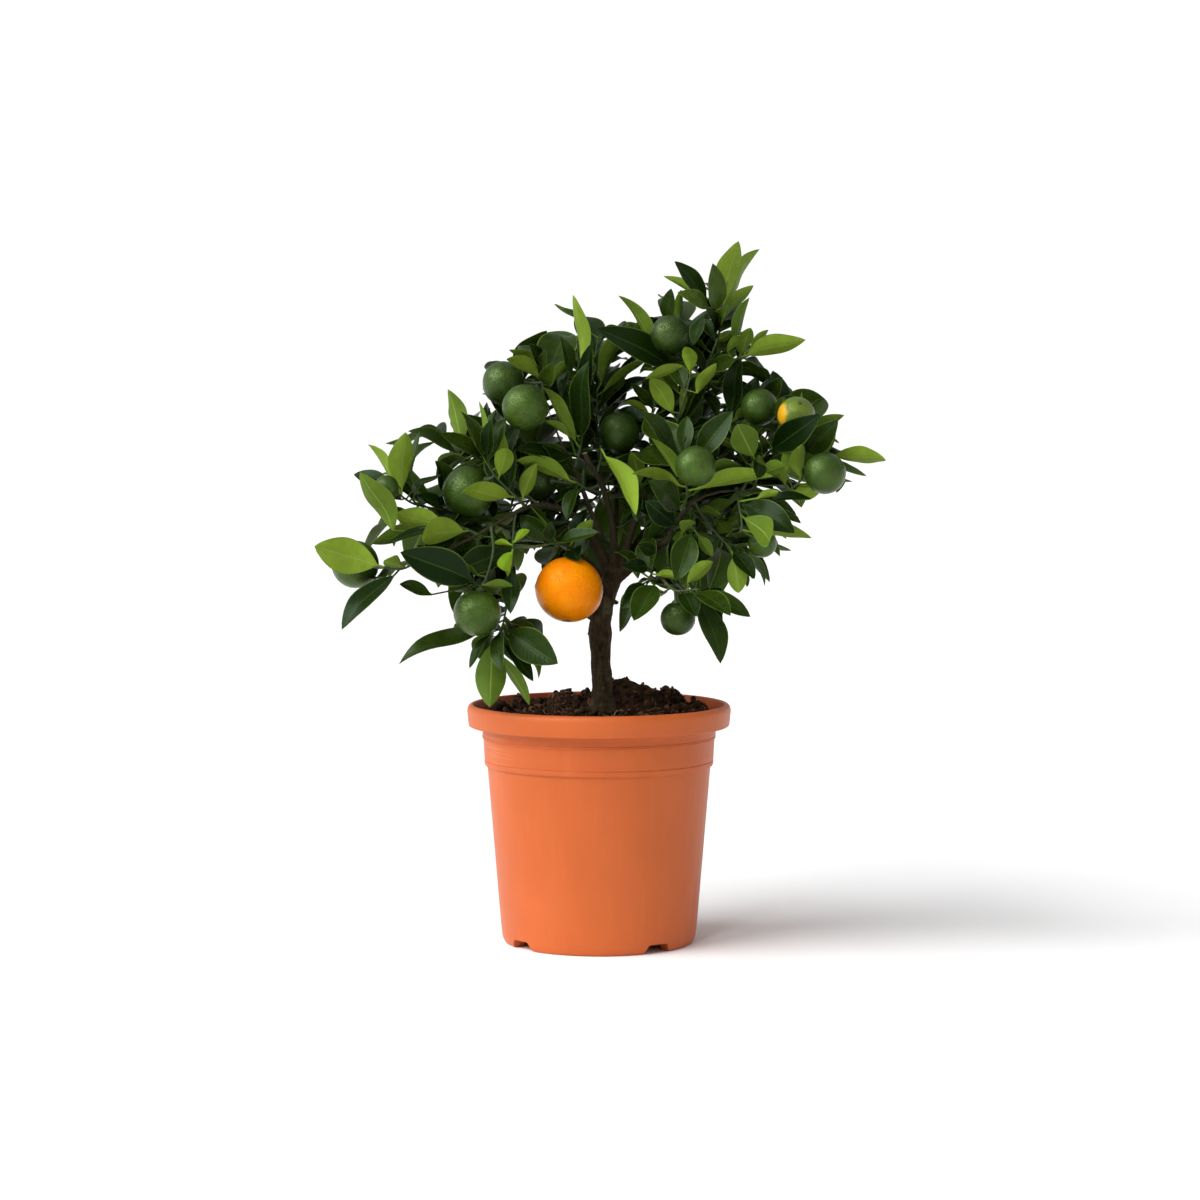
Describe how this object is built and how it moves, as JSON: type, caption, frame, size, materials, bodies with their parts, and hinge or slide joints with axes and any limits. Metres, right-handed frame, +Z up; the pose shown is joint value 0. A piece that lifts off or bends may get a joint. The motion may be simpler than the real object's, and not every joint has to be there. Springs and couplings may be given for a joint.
{
  "type": "potted calamondin tree",
  "caption": "Small calamondin citrus tree with green fruits, one ripe orange fruit and glossy leaves, growing in dark compost in a terracotta-coloured plastic nursery pot.",
  "frame": {"origin": "centre of the pot's foot, on the surface it stands on; the crown reaches alike to each side of it", "axes": "+Z up along the pot's axis; -Y is the front that the picture shows; +X to the right of that view"},
  "size_m": [0.2736, 0.1848, 0.3506],
  "materials": {
    "pot_plastic": "satin",
    "soil": "crumbly",
    "bark": "rough",
    "fruit_ripe": "satin",
    "fruit_green": "satin",
    "fruit_turning": "satin",
    "leaves": "satin"
  },
  "bodies": {
    "root": {"fruit_green_01": "fruit_green", "fruit_green_02": "fruit_green", "fruit_green_03": "fruit_green", "fruit_green_04": "fruit_green", "fruit_green_05": "fruit_green", "fruit_green_06": "fruit_green", "fruit_green_07": "fruit_green", "fruit_green_08": "fruit_green", "fruit_green_09": "fruit_green", "fruit_green_10": "fruit_green", "fruit_green_11": "fruit_green", "fruit_green_12": "fruit_green", "fruit_green_13": "fruit_green", "fruit_green_14": "fruit_green", "fruit_green_15": "fruit_green", "fruit_green_16": "fruit_green", "fruit_green_17": "fruit_green", "fruit_ripe": "fruit_ripe", "fruit_turning": "fruit_turning", "pot": "pot_plastic", "soil": "soil", "spray_back_centre_low": "leaves", "spray_back_centre_tip": "leaves", "spray_back_left_mid": "leaves", "spray_back_left_tip": "leaves", "spray_back_left_top": "leaves", "spray_back_right_mid": "leaves", "spray_back_right_tip": "leaves", "spray_back_right_top": "leaves", "spray_centre_inner": "leaves", "spray_centre_right": "leaves", "spray_centre_small": "leaves", "spray_centre_top": "leaves", "spray_far_left": "leaves", "spray_hanging_left": "leaves", "spray_inner_centre": "leaves", "spray_inner_right": "leaves", "spray_left_inner": "leaves", "spray_left_low": "leaves", "spray_left_mid": "leaves", "spray_left_top": "leaves", "spray_left_upper": "leaves", "spray_low_centre": "leaves", "spray_low_far_right": "leaves", "spray_low_right": "leaves", "spray_low_right_inner": "leaves", "spray_mid_right_top": "leaves", "spray_over_orange": "leaves", "spray_pruned_shoot": "leaves", "spray_right_far": "leaves", "spray_right_far_top": "leaves", "spray_right_low": "leaves", "spray_right_mid": "leaves", "spray_right_top": "leaves", "spray_right_upper": "leaves", "spray_top": "leaves", "spray_upper_left_tip": "leaves", "spray_upper_mid": "leaves", "spray_upper_right_left": "leaves", "wood": "bark"}
  },
  "joints": []
}
